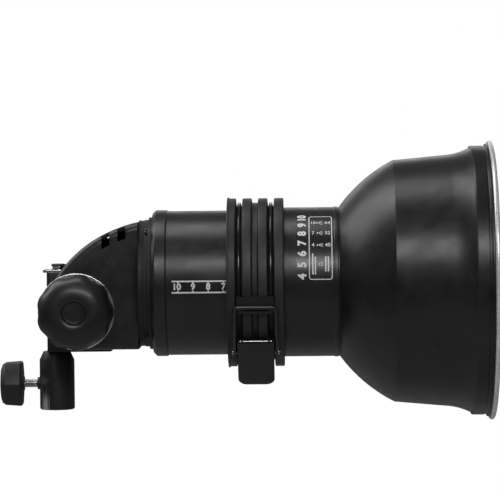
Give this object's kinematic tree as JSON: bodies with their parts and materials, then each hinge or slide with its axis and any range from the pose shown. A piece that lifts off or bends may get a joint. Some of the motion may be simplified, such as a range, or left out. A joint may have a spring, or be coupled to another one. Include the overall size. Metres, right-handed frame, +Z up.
{
  "type": "studio flash head with zoom reflector",
  "caption": "Black studio flash head on a tilting stand socket, with a ribbed clamp collar and a wide bell reflector that slides along the barrel.",
  "frame": {"origin": "centre of the stand socket's mouth, on the socket's axis", "axes": "+X along the beam, towards the reflector's mouth; +Z up along the stand socket; the tilt knob is on the -Y side"},
  "size_m": [0.342, 0.1922, 0.1922],
  "materials": {
    "cast_black": "textured",
    "housing_black": "satin",
    "barrel_black": "satin",
    "reflector_black": "satin",
    "rim_aluminium": "brushed",
    "knob_black": "moulded",
    "lock_knob_black": "moulded",
    "steel": "machined",
    "chrome": "polished",
    "brass": "machined",
    "rubber": "moulded",
    "latch_black": "satin",
    "wire_black": "gloss",
    "inner_plastic": "moulded",
    "inner_aluminium": "mill",
    "ceramic": "glazed",
    "flash_glass": "clear",
    "cover_glass": "frosted",
    "lamp_glass": "clear",
    "coil_red": "varnished"
  },
  "bodies": {
    "stand_mount": {"stand_socket": "cast_black", "socket_bolt": "steel", "lock_insert": "steel", "tilt_bracket": "cast_black", "tilt_bushes": "brass", "stop_plate": "chrome", "stop_spacer": "chrome", "stop_cap": "inner_plastic"},
    "lock_slider": {"lock_pad": "brass"},
    "lock_handle": {"lock_knob": "lock_knob_black", "lock_screw": "steel"},
    "head": {"housing_right": "housing_black", "housing_left": "housing_black", "housing_screws": "steel", "housing_flange": "housing_black", "flange_screws": "steel", "tilt_disc": "chrome", "tilt_nut": "steel", "barrel_ring": "barrel_black", "barrel_tube": "barrel_black", "fan_frame": "inner_plastic", "fan_spacers": "steel", "chassis_disc": "inner_aluminium", "chassis_rods": "steel", "lamp_base": "inner_aluminium", "lamp_holder": "ceramic", "modelling_lamp": "lamp_glass", "flash_tube": "flash_glass", "tube_terminals": "brass", "trigger_coil": "coil_red", "terminal_block": "ceramic", "glass_cover": "cover_glass", "cover_ring": "inner_aluminium", "power_inlet": "inner_plastic", "switch_frame": "inner_plastic"},
    "tilt_handle": {"tilt_knob": "knob_black", "tilt_bolt": "steel", "tilt_cap": "knob_black"},
    "fan": {"fan_rotor": "inner_plastic"},
    "rocker": {"switch_rocker": "lock_knob_black"},
    "reflector": {"neck_sleeve": "reflector_black", "reflector_dome": "reflector_black", "reflector_skirt": "reflector_black", "front_band": "reflector_black", "front_rim": "rim_aluminium", "rubber_collar": "rubber", "clamp_wires": "wire_black", "latch_catch": "latch_black", "latch_base": "latch_black", "latch_pin": "steel"},
    "latch_arm": {"latch_lever": "latch_black"},
    "bail": {"latch_bail": "wire_black"}
  },
  "joints": [
    {"name": "lock_slide", "type": "slide", "parent": "stand_mount", "child": "lock_slider", "axis": [1, 0, 0], "range_m": [-0.003, 0.004]},
    {"name": "lock_turn", "type": "hinge", "parent": "lock_slider", "child": "lock_handle", "pos_m": [-0.02, 0, 0.0181], "axis": [1, 0, 0], "range_deg": [-1080, 1440]},
    {"name": "tilt", "type": "hinge", "parent": "stand_mount", "child": "head", "pos_m": [0.0164, 0, 0.0693], "axis": [0, -1, 0], "range_deg": [-45, 90]},
    {"name": "tilt_turn", "type": "hinge", "parent": "head", "child": "tilt_handle", "pos_m": [0.0164, -0.05, 0.0693], "axis": [0, -1, 0], "range_deg": [0, 270]},
    {"name": "fan_spin", "type": "hinge", "parent": "head", "child": "fan", "pos_m": [0.092, 0, 0.087], "axis": [1, 0, 0], "continuous": true},
    {"name": "switch_rock", "type": "hinge", "parent": "head", "child": "rocker", "pos_m": [0.044, 0.032, 0.092], "axis": [1, 0, 0], "range_deg": [0, 20]},
    {"name": "zoom", "type": "slide", "parent": "head", "child": "reflector", "axis": [1, 0, 0], "range_m": [-0.036, 0.026]},
    {"name": "latch_open", "type": "hinge", "parent": "reflector", "child": "latch_arm", "pos_m": [0.1395, -0.049, 0.0486], "axis": [-1, 0, 0], "range_deg": [0, 150]},
    {"name": "bail_swing", "type": "hinge", "parent": "latch_arm", "child": "bail", "pos_m": [0.1395, -0.04221, 0.04097], "axis": [-1, 0, 0], "range_deg": [-150, 0]}
  ],
  "couplings": [
    {"joint": "lock_slide", "follows": "lock_turn", "m_per_rad": 0.00015915},
    {"joint": "bail_swing", "follows": "latch_open", "ratio": -1}
  ]
}
